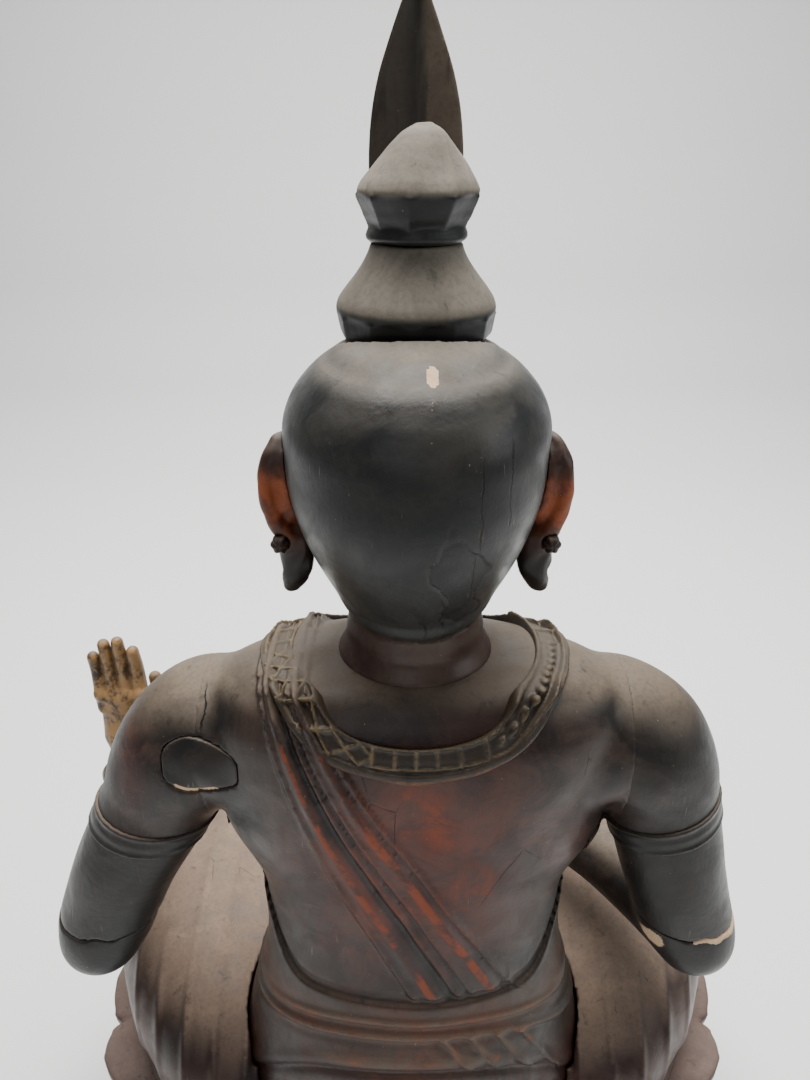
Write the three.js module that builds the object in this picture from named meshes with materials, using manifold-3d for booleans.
// Seated Buddha on a lotus throne: a joined-wood figure built up from pegged and glued blocks.
// Millimetres, +Z up. The figure faces -Y; +X is the figure's own left.
import * as THREE from 'three';
import { mergeVertices } from 'three/addons/utils/BufferGeometryUtils.js';
import Module from 'manifold-3d';

const wasm = await Module();
wasm.setup();

// ---------------------------------------------------------------- driving dimensions
const GAP = 0.3;                 // clearance between pieces that touch
const AXIS_Y = 55;               // middle of the shoulders, in the layout the blocks are drawn in
const THRONE_Y = -30;            // middle of the throne in that layout; pieces are set down with it at zero

const THRONE_HALF_WIDTH = 250;
const THRONE_HALF_DEPTH = 180;
const THRONE_SQUARENESS = 0.85;  // 1 is an ellipse, lower is squarer
const PETALS = 20;
const FOOT_TOP = 26;
const LOWER_PETALS_TOP = 74;
const WAIST_TOP = 96;
const UPPER_PETALS_TOP = 158;
const SEAT_TOP = 165;

const NECK_BASE = 572;
const NECK_RADIUS = 37;
const NECK_TENON_RADIUS = 21;
const NECK_TENON_BOTTOM = 536;
const SHOULDER_JOINT_X = 118;
const ELBOW_JOINT_Z = 378;
const COLLAR_RELIEF = 5;
const COLLAR_INNER_REACH = 66.5;  // distances from the neck, counted down the slope of the shoulders
const COLLAR_OUTER_REACH = 88;
const SHOULDER_SLOPE = 0.37;
const SASH_RELIEF = 3;

const KNOT_Y = 35;
const CROWN_BACK = 22;
const SKULL_TOP = 742;
const KNOB_BOTTOM = 778;

const SHOULDER_DOWEL_RADIUS = 9;
const DOWEL_RADIUS = 7;
const WRIST_TENON_RADIUS = 8;

// Heights with the half width, the front and the back of the trunk at each.
const TRUNK_LEVELS = [
  [SEAT_TOP + GAP, 120, -30, 134], [200, 124, -32, 138], [237, 120, -28, 134], [290, 108, -19, 127],
  [335, 97, -10, 120], [376, 94, -7, 116], [412, 98, -10, 117], [451, 115, -13, 119],
  [490, 121, -14, 121], [520, 124, -12, 122], [543, 118, -3, 119], [557, 103, 10, 113],
  [567, 79, 23, 106], [NECK_BASE, 52, 30, 98],
];
const HEAD_LEVELS = [
  [584, 13, -12, 28], [588, 24, -15, 62], [598, 36, -17, 94], [610, 43, -18, 102],
  [625, 49.5, -19, 111], [645, 57, -20, 121], [665, 61.5, -20, 127], [685, 63, -20, 127],
  [703, 62.5, -17, 124], [717, 55, -8, 117], [729, 42, 8, 104], [738, 25, 28, 84], [SKULL_TOP, 8, 46, 66],
];

// ---------------------------------------------------------------- shaping helpers
const vec = (p) => new THREE.Vector3(...p);

function solidOf(geometry) {
  const bare = geometry.clone();
  bare.deleteAttribute('normal');
  bare.deleteAttribute('uv');
  const welded = mergeVertices(bare, 1e-3);
  return new wasm.Manifold(new wasm.Mesh({
    numProp: 3,
    vertProperties: new Float32Array(welded.attributes.position.array),
    triVerts: new Uint32Array(welded.index.array),
  }));
}

// A closed body through a row of rings; place(x, z) puts a point of the unit circle on its ring.
function loft(rings, sides) {
  const geometry = new THREE.CylinderGeometry(1, 1, 1, sides, rings.length - 1);
  const position = geometry.attributes.position;
  for (let i = 0; i < position.count; i++) {
    const ring = rings[Math.round((0.5 - position.getY(i)) * (rings.length - 1))];
    const point = ring(position.getX(i), position.getZ(i));
    position.setXYZ(i, point.x, point.y, point.z);
  }
  return solidOf(geometry);
}

// Upright body from levels of [height, half width, front, back], pushed outward by grow.
function upright(levels, sides, grow = 0) {
  const rings = levels.map(([z, half, front, back], i) => {
    const below = levels[Math.max(i - 1, 0)];
    const above = levels[Math.min(i + 1, levels.length - 1)];
    const rise = above[0] - below[0];
    const spread = above[1] - below[1];
    const slope = Math.hypot(rise, spread);
    const out = grow * rise / slope;
    const lift = -grow * spread / slope;
    return (x, y) => new THREE.Vector3(
      x * (half + out), (front + back) / 2 + y * ((back - front) / 2 + out), z + lift);
  });
  return loft(rings, sides);
}

// Limb through stations of [centre, radius across `side`, radius the other way].
function limb(stations, side, sides = 16, grow = 0) {
  const centres = stations.map(([centre]) => vec(centre));
  const rings = stations.map(([, across, other], i) => {
    const before = centres[Math.max(i - 1, 0)];
    const after = centres[Math.min(i + 1, centres.length - 1)];
    const along = after.clone().sub(before).normalize();
    const u = vec(side).addScaledVector(along, -vec(side).dot(along)).normalize();
    const v = along.clone().cross(u);
    return (x, z) => centres[i].clone()
      .addScaledVector(u, x * (across + grow))
      .addScaledVector(v, z * (other + grow));
  });
  return loft(rings, sides);
}

function rod(from, to, radius, sides = 12) {
  const side = Math.abs(to[0] - from[0]) > Math.abs(to[2] - from[2]) ? [0, 0, 1] : [1, 0, 0];
  return limb([[from, radius, radius], [to, radius, radius]], side, sides);
}

function box(xRange, yRange, zRange) {
  const size = [xRange, yRange, zRange].map(([low, high]) => high - low);
  const middle = [xRange, yRange, zRange].map(([low, high]) => (low + high) / 2);
  return solidOf(new THREE.BoxGeometry(...size).translate(...middle));
}

function ball(centre, radii, across = 10, up = 6) {
  const geometry = new THREE.SphereGeometry(1, across, up);
  geometry.rotateX(Math.PI / 2).scale(...radii).translate(...centre);
  return solidOf(geometry);
}

// Outline in X and Z pushed along Y.
function prism(outline, yRange) {
  const shape = new THREE.Shape(outline.map(([x, z]) => new THREE.Vector2(x, z)));
  const geometry = new THREE.ExtrudeGeometry(shape, { depth: yRange[1] - yRange[0], bevelEnabled: false });
  geometry.rotateX(Math.PI / 2).translate(0, yRange[1], 0);
  return solidOf(geometry);
}

// Round body about an upright axis, from [radius, height] rising from its foot.
function turned(profile, y, sides = 20) {
  return loft(profile.map(([radius, z]) => (x, depth) => new THREE.Vector3(
    x * radius, y + depth * radius, z)), sides);
}

const join = (...solids) => solids.reduce((sum, next) => sum.add(next));

// ---------------------------------------------------------------- finishes and the part list
const finish = (color, roughness, metalness = 0) => ({ color, roughness, metalness });
const FINISHES = {
  lacquer: finish(0x4a2a22, 0.55),
  hair: finish(0x2e2c2d, 0.5),
  skin: finish(0x3a2b26, 0.5),
  robe: finish(0x6a5a50, 0.7),
  gilt: finish(0x6b5230, 0.55, 0.2),
  throne: finish(0x53362d, 0.65),
  timber: finish(0xb08a5e, 0.8),
};

const part = new THREE.Group();
part.name = 'seated_buddha';

function piece(name, solid, finishName) {
  const mesh = solid.translate(0, -THRONE_Y, 0).getMesh();
  const geometry = new THREE.BufferGeometry();
  geometry.setAttribute('position', new THREE.BufferAttribute(new Float32Array(mesh.vertProperties), 3));
  geometry.setIndex(new THREE.BufferAttribute(new Uint32Array(mesh.triVerts), 1));
  geometry.computeVertexNormals();
  const node = new THREE.Mesh(geometry, new THREE.MeshStandardMaterial(FINISHES[finishName]));
  node.name = name;
  part.add(node);
}

// ---------------------------------------------------------------- lotus throne
// Levels of [height, share of the throne's plan, how far the petals swell, how far their tips move in height].
function throneTier(levels, sides = PETALS * 4) {
  return loft(levels.map(([z, share, swell, tip]) => (x, y) => {
    const turn = Math.atan2(x, y);
    const reach = Math.hypot(x, y);
    const squared = (part) => Math.sign(part) * Math.abs(part) ** THRONE_SQUARENESS;
    const lobe = Math.abs(Math.cos(turn * PETALS / 2)) ** 0.8;
    const halfWidth = THRONE_HALF_WIDTH * share + swell * lobe;
    const halfDepth = THRONE_HALF_DEPTH * share + swell * lobe;
    return new THREE.Vector3(
      squared(x) * halfWidth, THRONE_Y + squared(y) * halfDepth, z + tip * lobe * reach);
  }), sides);
}

const seatDowelSpots = [[165, -40], [-165, -40]];
const seatDowel = ([x, y], grow) => rod([x, y, 132 - grow], [x, y, 196 + grow], 8 + grow);
const seatDowelHoles = join(...seatDowelSpots.map((spot) => seatDowel(spot, GAP)));

piece('throne_foot', throneTier([
  [0, 1.0, 0, 0], [13, 1.0, 0, 0], [19, 0.985, 0, 0], [FOOT_TOP, 0.955, 0, 0],
], 40), 'throne');
piece('lower_petals', throneTier([
  [FOOT_TOP + GAP, 0.93, 0, 0], [33, 0.965, 12, -4], [44, 0.965, 12, 0], [60, 0.90, 9, 0],
  [LOWER_PETALS_TOP, 0.84, 0, 0],
]), 'throne');
piece('throne_waist', throneTier([
  [LOWER_PETALS_TOP + GAP, 0.82, 0, 0], [80, 0.80, 0, 0], [90, 0.80, 0, 0], [WAIST_TOP, 0.82, 0, 0],
], 40), 'throne');
piece('upper_petals', throneTier([
  [WAIST_TOP + GAP, 0.84, 0, 0], [112, 0.90, 9, 0], [133, 0.975, 12, 0], [150, 0.985, 11, 7],
  [UPPER_PETALS_TOP, 0.93, 0, 0],
]).subtract(seatDowelHoles), 'throne');
piece('seat_board', throneTier([
  [UPPER_PETALS_TOP + GAP, 0.90, 0, 0], [163, 0.90, 0, 0], [SEAT_TOP, 0.89, 0, 0],
], 40).subtract(seatDowelHoles), 'throne');
piece('left_seat_dowel', seatDowel(seatDowelSpots[0], 0), 'timber');
piece('right_seat_dowel', seatDowel(seatDowelSpots[1], 0), 'timber');

// ---------------------------------------------------------------- arm stations, shoulder to elbow and elbow to wrist
const ARMS = {
  left: {
    way: 1,
    upper: [
      [[70, 55, 508], 40, 38], [[90, 55, 506], 44, 44], [[104, 55, 508], 44, 44], [[118, 55, 510], 42, 42],
      [[132, 56, 499], 42, 41], [[144, 58, 484], 39, 37], [[153, 60, 466], 36, 34], [[164, 63, 444], 34, 33],
      [[181, 67, 412], 31, 31], [[197, 70, 374], 30, 30],
    ],
    fore: [
      [[202, 98, 356], 8, 8], [[202, 94, 356], 18, 17], [[203, 84, 357], 25, 24], [[204, 68, 358], 28, 27],
      [[208, 35, 356], 27, 26], [[215, -10, 356], 24, 23], [[224, -50, 358], 20, 19], [[229, -74, 360], 18, 17],
    ],
    armletAt: [161, 62, 452],
    armletAxis: [0.2, 0.06, -0.98],
  },
  right: {
    way: -1,
    upper: [
      [[-70, 55, 508], 40, 38], [[-90, 55, 506], 44, 44], [[-104, 55, 508], 44, 44], [[-118, 55, 510], 42, 42],
      [[-131, 56, 500], 42, 42], [[-143, 58, 484], 39, 37], [[-150, 60, 462], 36, 34], [[-157, 64, 436], 33, 32.5],
      [[-164, 67, 409], 31.5, 31.5], [[-175, 70, 374], 30, 30],
    ],
    fore: [
      [[-186, 97, 356], 8, 8], [[-185, 93, 356], 18, 17], [[-183, 84, 357], 25, 24], [[-179, 68, 357], 28, 27],
      [[-166, 35, 348], 27, 25], [[-145, -2, 338], 24, 22], [[-122, -34, 327], 20, 19], [[-106, -56, 320], 18, 16],
    ],
    armletAt: [-152, 62, 454],
    armletAxis: [-0.3, 0.1, -0.95],
  },
};
const sleeve = (arm, grow) => limb(arm.upper, [0, 1, 0], 18, grow);

// ---------------------------------------------------------------- trunk
const trunkSides = 24;
const trunkSkin = (grow) => upright(TRUNK_LEVELS, trunkSides, grow);

// The shawl runs from the left shoulder down to the right hip, on the back and on the front.
function sash(grow) {
  const band = prism([
    [88 + grow, 600], [42 - grow, 600], [-120 - grow, 338], [-74 + grow, 338]], [-80, 200]);
  return trunkSkin(SASH_RELIEF + grow).intersect(band);
}
function waistBand(low, high, relief) {
  return trunkSkin(relief).intersect(box([-200, 200], [-100, 200], [low, high]));
}

const lapDowelSpots = [50, -50];
const lapDowel = (x, grow) => rod([x, -58 - grow, 205], [x, 4 + grow, 205], DOWEL_RADIUS + grow);
const shoulderDowel = (way, grow) => rod([way * (78 - grow), AXIS_Y, 505], [way * (156 + grow), AXIS_Y, 505],
  SHOULDER_DOWEL_RADIUS + grow);
// A repair let into the back of the left shoulder, across the joint between trunk and arm.
const shoulderPatch = (grow) => limb([[[118, 150, 515], 22 + grow, 16 + grow],
  [[118, 88 - grow, 515], 22 + grow, 16 + grow]], [1, 0, 0], 14);
const neckTenon = (grow) => rod([0, 57, NECK_TENON_BOTTOM - grow], [0, 57, NECK_BASE + 6],
  NECK_TENON_RADIUS + grow, 20);

const shoulderRoots = join(sleeve(ARMS.left, 0), sleeve(ARMS.right, 0))
  .intersect(box([-SHOULDER_JOINT_X, SHOULDER_JOINT_X], [-100, 200], [440, NECK_BASE]));
const trunkCore = join(
  trunkSkin(0), shoulderRoots, sash(0), waistBand(324, 348, 4))
  .intersect(box([-SHOULDER_JOINT_X - 6, SHOULDER_JOINT_X + 6], [-100, 200], [SEAT_TOP + GAP, NECK_BASE]))
  .subtract(box([SHOULDER_JOINT_X - GAP / 2, 300], [-100, 200], [440, 600]))
  .subtract(box([-300, -SHOULDER_JOINT_X + GAP / 2], [-100, 200], [440, 600]));
piece('trunk', trunkCore
  .subtract(neckTenon(GAP))
  .subtract(join(shoulderDowel(1, GAP), shoulderDowel(-1, GAP)))
  .subtract(shoulderPatch(GAP))
  .subtract(join(lapDowel(lapDowelSpots[0], GAP), lapDowel(lapDowelSpots[1], GAP))), 'lacquer');
piece('left_shoulder_dowel', shoulderDowel(1, 0), 'timber');
piece('right_shoulder_dowel', shoulderDowel(-1, 0), 'timber');

// The collar lies over the shoulders in a ring that follows their slope, front and back.
function slopedCone(reach) {
  const radiusAt = (z) => reach - SHOULDER_SLOPE * (570 - z);
  return turned([[radiusAt(470), 470], [radiusAt(620), 620]], AXIS_Y, 32);
}
// Behind the neck it dips as a shallow curve: half of its outline seen from behind, out and back in.
const COLLAR_DIP = [
  [0, 523], [39, 534], [59, 547], [72, 561], [84, 566], [92, 570], [92, 600], [52, 600], [50, 569], [40, 558],
  [25, 549], [0, 546]];
function collarSolid() {
  const mirrored = COLLAR_DIP.slice(1, -1).reverse().map(([x, z]) => [-x, z]);
  const behind = prism([...COLLAR_DIP, ...mirrored], [62, 200]);
  return trunkSkin(COLLAR_RELIEF)
    .intersect(slopedCone(COLLAR_OUTER_REACH))
    .subtract(slopedCone(COLLAR_INNER_REACH))
    .intersect(box([-120, 120], [-100, 62], [400, 620]).add(behind))
    .subtract(trunkSkin(GAP))
    .subtract(sleeve(ARMS.left, GAP))
    .subtract(sleeve(ARMS.right, GAP))
    .subtract(sash(GAP));
}
piece('collar', collarSolid(), 'gilt');

// ---------------------------------------------------------------- legs and lap
// Half of the folded legs, from the lap out to a knee: distance out, front, back, underside and top.
const LEG_SECTIONS = [
  [0, -166, 60, 152, 258], [55, -168, 92, 152, 263], [105, -166, 114, 153, 272], [150, -160, 106, 153, 281],
  [190, -146, 76, 154, 279], [222, -118, 28, 160, 268], [235, -90, -4, 172, 251], [240, -62, -28, 190, 233],
];
const legStation = (way) => ([out, front, back, low, high]) => [
  [way * out, (front + back) / 2, (low + high) / 2], (back - front) / 2, (high - low) / 2];
const LEG_STATIONS = [
  ...LEG_SECTIONS.slice(1).reverse().map(legStation(-1)), ...LEG_SECTIONS.map(legStation(1)),
];
const kneeDowel = (way, grow) => rod([way * (76 - grow), -70, 212], [way * (122 + grow), -70, 212],
  DOWEL_RADIUS + grow);
const foot = (way) => limb([
  [[way * 92, -100, 250], 15, 9], [[way * 80, -108, 254], 19, 12], [[way * 55, -116, 258], 21, 13],
  [[way * 30, -124, 260], 23, 12], [[way * 12, -128, 259], 22, 9], [[way * 4, -130, 258], 14, 5],
], [0, 1, 0], 10);
const legs = limb(LEG_STATIONS, [0, 1, 0], 22)
  .subtract(box([-300, 300], [-300, 300], [0, SEAT_TOP + GAP]))
  .subtract(trunkSkin(GAP + 0.2))
  .subtract(trunkSkin(4.8).intersect(box([-200, 200], [-200, 200], [318, 360])))
  .subtract(seatDowelHoles)
  .subtract(join(kneeDowel(1, GAP), kneeDowel(-1, GAP)))
  .subtract(join(lapDowel(lapDowelSpots[0], GAP), lapDowel(lapDowelSpots[1], GAP)));
const LAP_JOINT_X = 100;
const lapRange = [-LAP_JOINT_X + GAP / 2, LAP_JOINT_X - GAP / 2];
piece('lap_block', join(legs, foot(1), foot(-1).translate(0, -2, 3))
  .intersect(box(lapRange, [-300, 8], [0, 400])), 'robe');
piece('left_knee_block', legs.intersect(box([LAP_JOINT_X + GAP / 2, 300], [-300, 300], [0, 400])), 'robe');
piece('right_knee_block', legs.intersect(box([-300, -LAP_JOINT_X - GAP / 2], [-300, 300], [0, 400])), 'robe');
piece('left_knee_dowel', kneeDowel(1, 0), 'timber');
piece('right_knee_dowel', kneeDowel(-1, 0), 'timber');
piece('left_lap_dowel', lapDowel(lapDowelSpots[0], 0), 'timber');
piece('right_lap_dowel', lapDowel(lapDowelSpots[1], 0), 'timber');

// ---------------------------------------------------------------- arms
const farSide = 400;

for (const [name, arm] of Object.entries(ARMS)) {
  const { way, upper, fore } = arm;
  const wrist = vec(fore.at(-1)[0]);
  const inward = wrist.clone().sub(vec(fore.at(-2)[0])).setZ(0).normalize();
  const tenonFrom = wrist.clone().addScaledVector(inward, -30).setZ(wrist.z - 0.5);
  const tenonTo = wrist.clone().addScaledVector(inward, 8).setZ(wrist.z - 0.5);
  arm.tenon = (grow) => rod(tenonFrom.clone().addScaledVector(inward, -grow).toArray(), tenonTo.toArray(),
    WRIST_TENON_RADIUS + grow);
  arm.inward = inward;
  arm.wrist = wrist;

  const outside = way > 0 ? [SHOULDER_JOINT_X + GAP / 2, farSide] : [-farSide, -SHOULDER_JOINT_X - GAP / 2];
  const forearm = (grow) => limb(fore, [1, 0, 0], 16, grow);
  const elbowDowel = (grow) => rod([upper.at(-1)[0][0] - way * 8, 69, 350 - grow],
    [upper.at(-1)[0][0] - way * 8, 69, 412 + grow], DOWEL_RADIUS + grow);
  const aboveElbow = box([-farSide, farSide], [-200, 300], [ELBOW_JOINT_Z + GAP / 2, 700]);
  const belowElbow = box([-farSide, farSide], [-200, 300], [200, ELBOW_JOINT_Z - GAP / 2]);
  const wristFace = vec(fore.at(-1)[0]);

  let shoulderBlock = sleeve(arm, 0)
    .intersect(box(outside, [-200, 300], [300, 700]))
    .intersect(aboveElbow)
    .subtract(shoulderDowel(way, GAP))
    .subtract(elbowDowel(GAP));
  if (name === 'left') {
    shoulderBlock = shoulderBlock.subtract(shoulderPatch(GAP));
    piece('left_shoulder_patch', shoulderPatch(0).intersect(join(sleeve(arm, -0.6), trunkSkin(-0.6))), 'skin');
  }
  piece(`${name}_upper_arm`, shoulderBlock, 'lacquer');
  piece(`${name}_forearm`, join(forearm(0), sleeve(arm, 0).intersect(box([-farSide, farSide], [-200, 300], [360, 400])))
    .intersect(belowElbow)
    .subtract(elbowDowel(GAP))
    .subtract(arm.tenon(GAP)), 'skin');
  piece(`${name}_elbow_dowel`, elbowDowel(0), 'timber');

  // Armlet: a flat band round the upper arm.
  const down = vec(arm.armletAxis).normalize();
  const ring = (low, high, relief) => {
    const middle = vec(arm.armletAt);
    const cut = limb([
      [middle.clone().addScaledVector(down, low).toArray(), 43, 43],
      [middle.clone().addScaledVector(down, high).toArray(), 43, 43]], [0, 1, 0], 12);
    return sleeve(arm, relief).intersect(cut).intersect(box(outside, [-200, 300], [300, 700]));
  };
  piece(`${name}_armlet`, ring(-8, 8, 3).subtract(sleeve(arm, GAP)), 'gilt');

  // Bracelet: a roll round the wrist, just behind the end of the forearm.
  const back = vec(fore.at(-2)[0]).sub(wristFace).normalize();
  const braceletCut = limb([
    [wristFace.clone().addScaledVector(back, 12).toArray(), 50, 50],
    [wristFace.clone().addScaledVector(back, 5).toArray(), 50, 50]], [1, 0, 0], 8);
  piece(`${name}_bracelet`, forearm(3).intersect(braceletCut).subtract(forearm(GAP)), 'gilt');
}

// ---------------------------------------------------------------- hands
function finger(stations, width) {
  return limb(stations.map(([at, share]) => [at, width * share, width * share * 0.9]), [1, 0, 0], 6);
}

// Left hand: raised, palm forward, its wrist turning up from the end of the forearm.
function leftHand() {
  const { wrist, inward, tenon } = ARMS.left;
  const start = wrist.clone().addScaledVector(inward, GAP);
  const palm = limb([
    [start.toArray(), 17.5, 16.5], [[231, -82, 361], 17, 16], [[233, -92, 366], 17, 14],
    [[234, -98, 378], 18, 12], [[235, -99, 392], 20, 11], [[235, -98, 408], 21, 10.5], [[235, -97, 422], 20, 9],
  ], [1, 0, 0], 12);
  const tops = [[251, 457], [241, 466], [230, 468], [220, 462]];
  const fingers = tops.map(([x, top], i) => {
    const root = 250 - i * 10;
    return finger([[[root, -97, 412], 1], [[root + (x - root) * 0.4, -98, 432], 1.02],
      [[root + (x - root) * 0.8, -97, top - 12], 0.95], [[x, -96, top - 3], 0.8], [[x, -96, top], 0.4]], 5.2);
  });
  const thumb = finger([[[222, -96, 384], 1.1], [[214, -102, 396], 1.15], [[210, -107, 410], 1.05],
    [[211, -109, 422], 0.8], [[212, -109, 425], 0.4]], 6);
  return join(palm, ...fingers, thumb, tenon(0))
    .subtract(box([-farSide, farSide], [-300, 300], [0, 300]));
}

// Right hand: laid in the lap, palm up, fingers toward the figure's left.
function rightHand() {
  const { wrist, inward, tenon } = ARMS.right;
  const start = wrist.clone().addScaledVector(inward, GAP + 1.2);
  const palm = limb([
    [start.toArray(), 15, 17], [[-97, -68, 316], 13, 17], [[-84, -82, 309], 11, 19], [[-66, -95, 301], 10, 22],
    [[-46, -104, 296], 9.5, 23], [[-30, -110, 294], 8.5, 22],
  ], [0, 0, 1], 12);
  const fingers = [0, 1, 2, 3].map((i) => {
    const spread = -18 + i * 10.5;
    const reach = [-2, 4, 2, -8][i];
    return limb([
      [[-38, -108 + spread, 294], 5.4, 5.2], [[-16, -112 + spread, 294], 5.4, 5.2],
      [[6 + reach, -115 + spread, 296], 5, 4.8], [[18 + reach, -116 + spread, 297], 4, 4],
      [[21 + reach, -116 + spread, 297], 2, 2]], [0, 1, 0], 6);
  });
  const thumb = limb([
    [[-64, -110, 303], 6, 6], [[-50, -124, 308], 6.4, 6], [[-34, -130, 312], 5.6, 5.4], [[-22, -130, 314], 4, 4],
    [[-19, -130, 314], 2, 2]], [0, 1, 0], 8);
  return join(palm, ...fingers, thumb, tenon(0));
}
const wristGuard = (arm, grow) => limb(arm.fore, [1, 0, 0], 16, grow);
piece('left_hand', leftHand().subtract(wristGuard(ARMS.left, GAP).subtract(ARMS.left.tenon(GAP / 2))), 'skin');
piece('right_hand', rightHand().subtract(wristGuard(ARMS.right, GAP).subtract(ARMS.right.tenon(GAP / 2))), 'skin');

// ---------------------------------------------------------------- head
const headSkin = (grow) => upright(HEAD_LEVELS, 20, grow);
const neck = upright([[NECK_BASE + GAP, 38, 28, 96], [584, 36, 24, 94], [598, 36, 20, 95], [615, 38, 20, 96]], 18);
const EYE_Z = 655;
const nose = limb([
  [[0, -17, 673], 5, 5], [[0, -21, 660], 5, 5], [[0, -25, 646], 7, 7], [[0, -27, 636], 10, 8],
  [[0, -23, 629], 9, 6]], [1, 0, 0], 12);
const faceParts = [nose,
  ball([0, -17.5, 614.5], [13, 5.5, 3.4]), ball([0, -17, 608], [10.5, 5.5, 3.8]),
  ball([0, -11, 594], [15, 9, 11]),
];
for (const way of [1, -1]) {
  faceParts.push(ball([way * 25, -9.5, EYE_Z], [14, 7.5, 6.5]));
}
const knotSeat = rod([0, KNOT_Y, 733], [0, KNOT_Y, 760], 40, 20);
const knotTenon = (grow) => rod([0, KNOT_Y, 704 - grow], [0, KNOT_Y, 736], 9 + grow);
const leafSlotY = -16;
const leafTang = (grow) => box([-9 - grow, 9 + grow], [leafSlotY - 3 - grow, leafSlotY + 3 + grow], [690 - grow, 730]);

// Crown: a band across the front of the head, rising to small leaf points.
function crown() {
  const wrap = (grow) => upright([[686, 63.5 + grow, -21 - grow, 128], [703, 64 + grow, -20 - grow, 128],
    [741, 60 + grow, -10 - grow, 118]], 20);
  const outline = [
    [-72, 690], [-68, 700], [-58, 702], [-50, 709], [-42, 705], [-33, 716], [-26, 714], [-20, 728], [20, 728],
    [26, 714], [33, 716], [42, 705], [50, 709], [58, 702], [68, 700], [72, 690]];
  const points = prism(outline, [-80, 44]);
  return wrap(5).subtract(wrap(2)).intersect(points).intersect(box([-90, 90], [-80, CROWN_BACK], [688, 760]))
    .add(headSkin(5).intersect(points).intersect(box([-90, 90], [-80, CROWN_BACK], [688, 714])))
    .subtract(headSkin(GAP))
    .subtract(box([-24, 24], [-80, leafSlotY + 6], [714, 760]))
    .subtract(leafTang(GAP));
}

const skull = join(headSkin(0), neck, neckTenon(0).intersect(box([-50, 50], [0, 120], [500, 590])), ...faceParts);
piece('head', skull.subtract(knotSeat).subtract(knotTenon(GAP)).subtract(leafTang(GAP)), 'hair');
piece('crown_band', crown(), 'gilt');

// Topknot: a bell with a faceted band below and a ribbed knob above.
piece('topknot_lower', turned([
  [31.5, 733 + GAP], [34.5, 736], [36.5, 743], [38, 749], [37, 752], [34, 757], [29, 764], [25, 770],
  [21, KNOB_BOTTOM - GAP]], KNOT_Y)
  .add(knotTenon(0))
  .subtract(rod([0, KNOT_Y, 765], [0, KNOT_Y, 790], 7 + GAP)), 'hair');
piece('topknot_upper', turned([
  [21, KNOB_BOTTOM], [23, 781], [22, 785], [25.5, 793], [27.8, 799], [25.5, 804],
  [20.5, 811], [14.5, 818], [8, 824], [3, 826.4]], KNOT_Y)
  .add(rod([0, KNOT_Y, 766], [0, KNOT_Y, 782], 7)), 'hair');

// Central leaf of the crown: a tall lancet with a ridge in front and a valley behind.
const LEAF_OUTLINE = [
  [0, 891], [7.5, 876], [13, 862], [18.5, 847], [22, 831], [23.5, 815], [23, 790], [20, 765], [15, 742], [10, 722],
];
const leafOutline = [...LEAF_OUTLINE, ...LEAF_OUTLINE.slice(1).reverse().map(([x, z]) => [-x, z])];
function leaf() {
  const valley = limb([[[0, 1, 735], 4, 6], [[0, -3, 880], 4, 5]], [0, 1, 0], 4);
  const ridge = limb([[[0, -19, 730], 5, 12], [[0, -20, 815], 6, 17],
    [[0, -17, 870], 2, 6]], [0, 1, 0], 4);
  const blade = prism(leafOutline, [leafSlotY - 4.5, leafSlotY + 5]);
  return blade.add(ridge.intersect(box([-40, 40], [-40, 0], [735, 880])))
    .subtract(valley.translate(0, -13, 0))
    .add(leafTang(0));
}
piece('crown_leaf', leaf(), 'gilt');

// Ears with long pierced lobes, and a knob behind each.
for (const [name, way] of [['left', 1], ['right', -1]]) {
  const shell = limb([
    [[way * 66, 57, 603], 3, 3], [[way * 65, 57, 607], 6, 6], [[way * 62.5, 57, 616], 8.5, 7.5],
    [[way * 61.5, 57, 626], 9.5, 8], [[way * 62, 58, 636], 9, 8], [[way * 64.5, 59, 646], 8.5, 9],
    [[way * 65.5, 58, 662], 9, 12], [[way * 64.5, 57, 678], 8.5, 12], [[way * 63, 55, 687], 6, 8],
    [[way * 62, 54, 691], 3, 4]], [1, 0, 0], 12);
  const piercing = rod([way * 40, 56.5, 617], [way * 90, 56.5, 617], 3, 8);
  const hollow = ball([way * 77, 47, 668], [7.5, 9, 14]);
  const knob = (grow) => ball([way * 69, 66.5, 636.5], [4.5 + grow, 4.5 + grow, 5 + grow]);
  piece(`${name}_ear`, shell.subtract(headSkin(GAP)).subtract(piercing).subtract(hollow)
    .subtract(knob(GAP)), 'lacquer');
  piece(`${name}_earring`, knob(0).subtract(headSkin(GAP)), 'gilt');
}

export default part;
